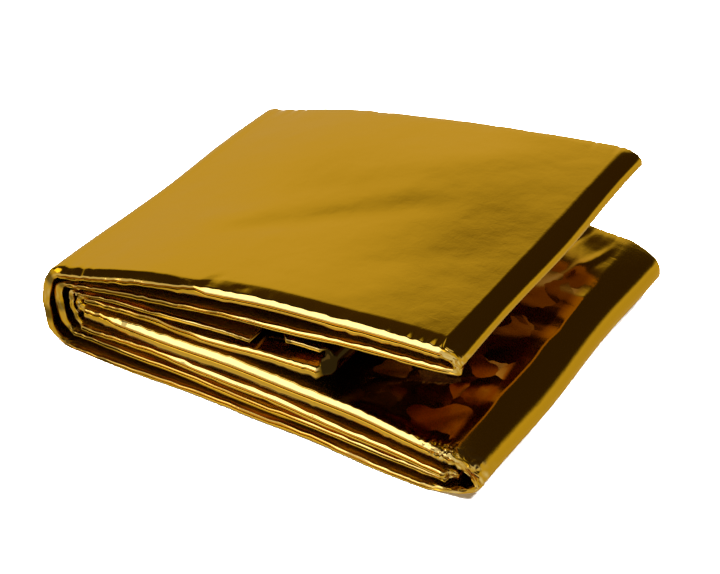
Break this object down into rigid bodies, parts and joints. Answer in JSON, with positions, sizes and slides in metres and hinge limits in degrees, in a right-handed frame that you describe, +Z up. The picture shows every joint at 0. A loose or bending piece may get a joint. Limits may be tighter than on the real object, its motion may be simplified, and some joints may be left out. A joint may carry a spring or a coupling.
{
  "type": "emergency foil blanket",
  "caption": "Gold metallised film rescue blanket, folded to a pocket pack that lies with its leaves half open.",
  "frame": {"origin": "bottom centre of the folded pack's box, on the surface that it lies on", "axes": "+X along the folded pack's length, from its closed spine to its open mouth; +Y from its near edge to its far edge; +Z up, through the leaves"},
  "size_m": [0.1344, 0.1068, 0.0444],
  "materials": {
    "gold_film": "gloss"
  },
  "bodies": {
    "root": {"foil_blanket": "gold_film"}
  },
  "joints": []
}
